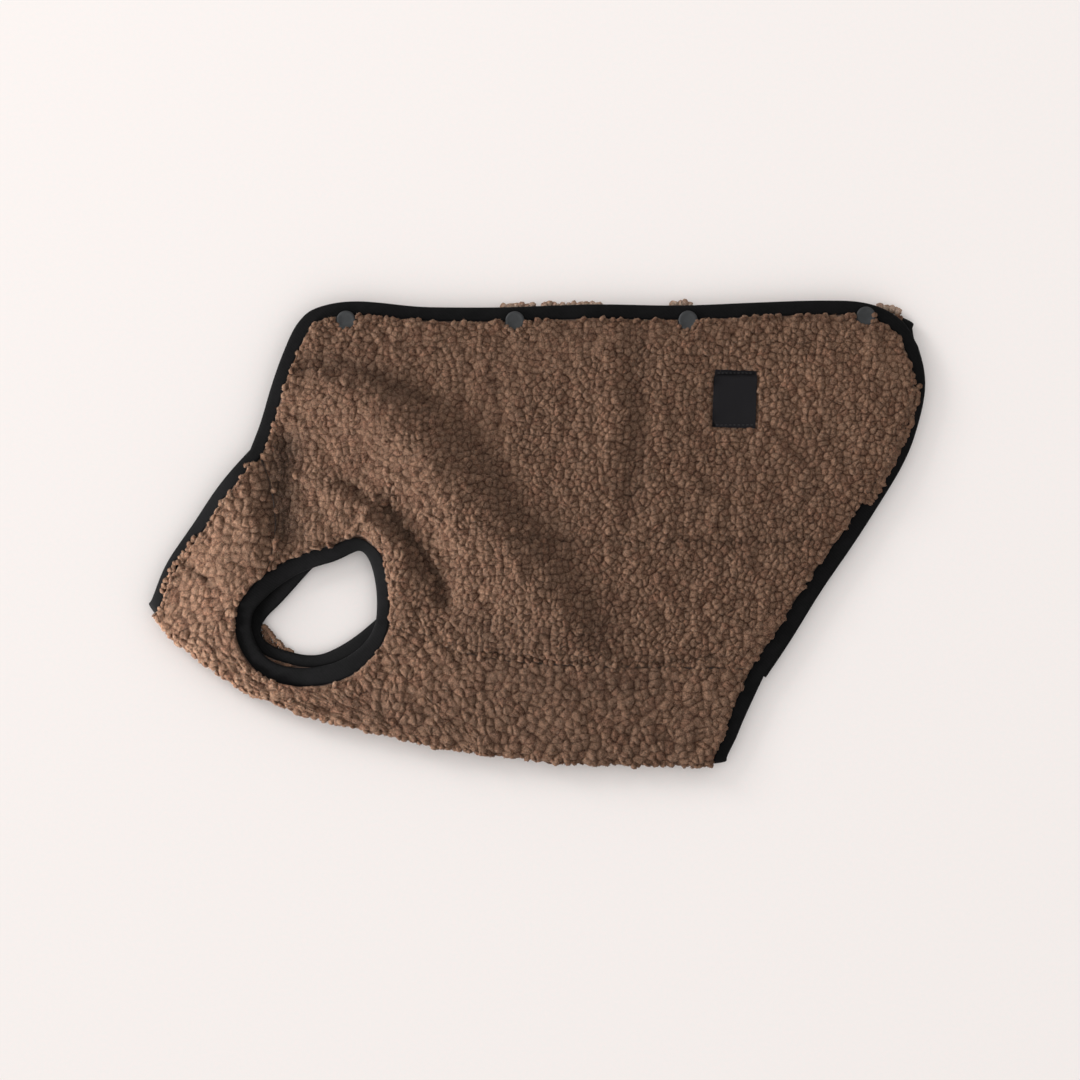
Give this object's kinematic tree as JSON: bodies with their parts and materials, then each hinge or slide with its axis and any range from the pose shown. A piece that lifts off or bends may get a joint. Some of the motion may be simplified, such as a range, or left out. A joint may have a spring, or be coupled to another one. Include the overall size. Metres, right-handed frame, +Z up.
{
  "type": "dog winter coat",
  "caption": "Dog's winter coat of curly pile fleece with folded edge tape, leg openings and a snapped back closure, lying flat on its side.",
  "frame": {"origin": "centre of the coat's box, on the surface it lies on", "axes": "+X from the neck to the hem, +Y from the belly fold to the back closure, +Z up, out of the coat's left side"},
  "size_m": [0.5034, 0.3032, 0.0236],
  "materials": {
    "curly_fleece": "matte, curly pile",
    "edge_tape": "woven, slight sheen",
    "woven_label": "fine weave",
    "snap_plastic": "satin"
  },
  "bodies": {
    "root": {"side_left": "curly_fleece", "side_right": "curly_fleece", "belly_panel": "curly_fleece", "edge_tape_left": "edge_tape", "edge_tape_right": "edge_tape", "hem_tape_left": "edge_tape", "hem_tape_belly": "edge_tape", "neck_tape_belly": "edge_tape", "arm_tape_left": "edge_tape", "arm_tape_right": "edge_tape", "woven_label": "woven_label", "snap_cap_1": "snap_plastic", "snap_cap_2": "snap_plastic", "snap_cap_3": "snap_plastic", "snap_cap_4": "snap_plastic", "snap_disc_1": "snap_plastic", "snap_disc_2": "snap_plastic", "snap_disc_3": "snap_plastic", "snap_disc_4": "snap_plastic"}
  },
  "joints": []
}
